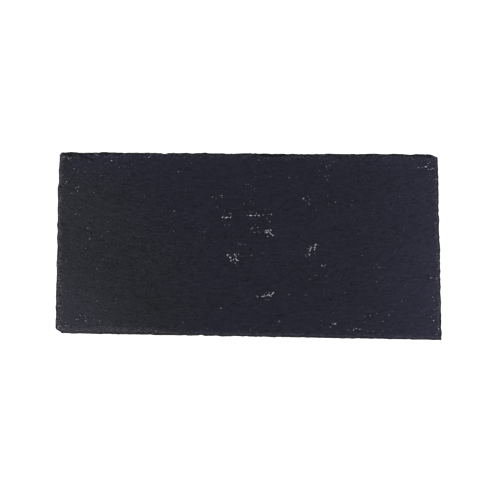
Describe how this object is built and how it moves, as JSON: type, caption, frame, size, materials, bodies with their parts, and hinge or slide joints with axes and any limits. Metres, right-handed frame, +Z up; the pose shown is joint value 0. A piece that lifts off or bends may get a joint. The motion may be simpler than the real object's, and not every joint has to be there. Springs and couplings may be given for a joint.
{
  "type": "slate slab",
  "caption": "Flat rectangular slab of natural slate with hand-chipped edges and a riven top, for serving, display or paving.",
  "frame": {"origin": "on the resting plane, under the middle of the slab's box", "axes": "+X along the slab's length, square to both ends; +Y across it, towards the back edge; +Z up, out of the riven top"},
  "size_m": [0.4018, 0.1981, 0.0053],
  "materials": {
    "slate": "matt, riven"
  },
  "bodies": {
    "root": {"slate_slab": "slate"}
  },
  "joints": []
}
